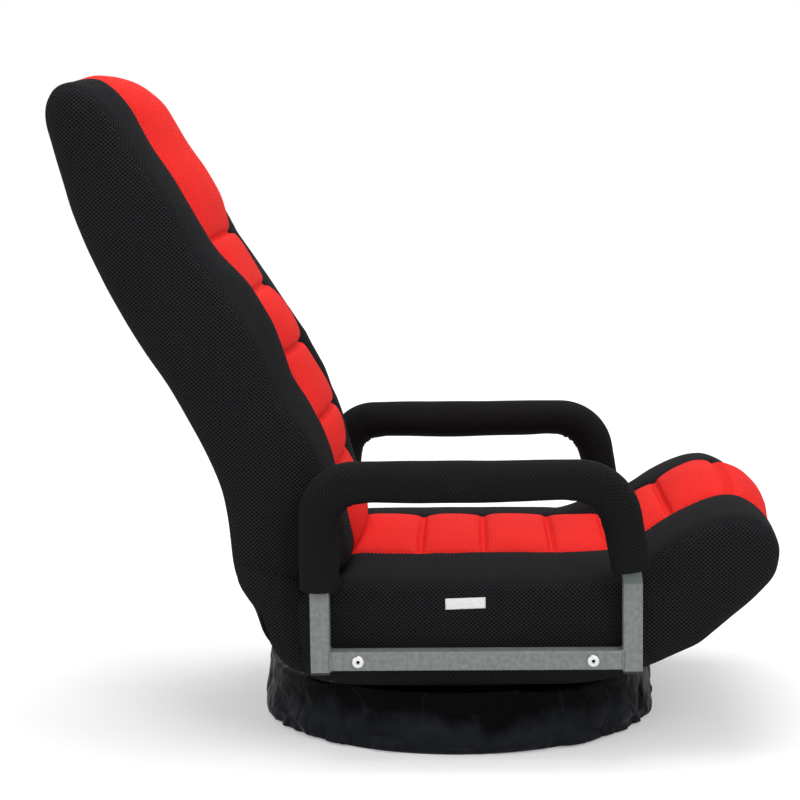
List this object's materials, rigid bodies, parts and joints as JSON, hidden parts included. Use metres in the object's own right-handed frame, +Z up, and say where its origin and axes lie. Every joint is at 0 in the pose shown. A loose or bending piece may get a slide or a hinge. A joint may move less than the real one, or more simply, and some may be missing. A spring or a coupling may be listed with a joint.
{
  "type": "swivel floor chair",
  "caption": "Legless swivel floor chair with a thick channelled seat and folding back, raised seat nose, padded armrest loops and a low round skirted base.",
  "frame": {"origin": "on the floor, on the swivel axis at the middle of the round base", "axes": "+X to the sitter's front, +Y to the sitter's left, +Z up"},
  "size_m": [0.9457, 0.627, 0.8874],
  "materials": {
    "red_mesh": "matte",
    "black_mesh": "matte",
    "black_knit": "matte",
    "grey_steel": "satin",
    "zinc": "satin",
    "inner_steel": "satin",
    "black_plastic": "matte",
    "glide_rubber": "matte",
    "skirt_cloth": "satin",
    "webbing": "matte"
  },
  "bodies": {
    "base": {"floor_ring": "inner_steel", "upper_ring": "inner_steel", "ring_posts": "inner_steel", "floor_glides": "glide_rubber", "base_cross_bars": "inner_steel", "base_skirt": "skirt_cloth", "skirt_top": "skirt_cloth", "lower_race_plate": "zinc", "lower_plate_screws": "zinc", "swivel_hub_rivet": "zinc", "bearing_balls": "zinc"},
    "seat": {"upper_race_plate": "zinc", "upper_plate_screws": "zinc", "armrest_loop_left": "grey_steel", "armrest_loop_right": "grey_steel", "armrest_sleeve_left": "black_knit", "armrest_sleeve_right": "black_knit", "armrest_rail_left": "grey_steel", "armrest_rail_right": "grey_steel", "armrest_end_caps": "black_plastic", "armrest_bolts": "zinc", "rivet_nuts": "zinc", "seat_side_tube_left": "inner_steel", "seat_side_tube_right": "inner_steel", "seat_front_tube": "inner_steel", "seat_cross_bars": "inner_steel", "seat_webbing": "webbing", "hinge_cheeks_left": "zinc", "hinge_cheeks_right": "zinc", "hinge_rivet_left": "zinc", "hinge_rivet_right": "zinc", "pawl_pin_left": "zinc", "pawl_pin_right": "zinc", "pawl_spring_left": "zinc", "pawl_spring_right": "zinc", "seat_cushion": "black_mesh", "seat_centre_panel": "red_mesh"},
    "backrest": {"hinge_sector_left": "zinc", "hinge_sector_right": "zinc", "back_side_tube_left": "inner_steel", "back_side_tube_right": "inner_steel", "back_top_tube": "inner_steel", "back_cross_bars": "inner_steel", "back_cushion": "black_mesh", "back_centre_panel": "red_mesh"},
    "pawl_left": {"hinge_pawl_left": "zinc"},
    "pawl_right": {"hinge_pawl_right": "zinc"}
  },
  "joints": [
    {"name": "swivel", "type": "hinge", "parent": "base", "child": "seat", "pos_m": [0, 0, 0.0895], "axis": [0, 0, 1], "continuous": true},
    {"name": "recline", "type": "hinge", "parent": "seat", "child": "backrest", "pos_m": [-0.215, 0, 0.18], "axis": [0, -1, 0], "range_deg": [-27.5, 67.5]},
    {"name": "pawl_left_lift", "type": "hinge", "parent": "seat", "child": "pawl_left", "pos_m": [-0.174, 0.2397, 0.169], "axis": [0, -1, 0], "range_deg": [0, 10], "stiffness_Nm_per_rad": 0.6, "springref_deg": -14.32},
    {"name": "pawl_right_lift", "type": "hinge", "parent": "seat", "child": "pawl_right", "pos_m": [-0.174, -0.2397, 0.169], "axis": [0, -1, 0], "range_deg": [0, 10], "stiffness_Nm_per_rad": 0.6, "springref_deg": -14.32}
  ]
}
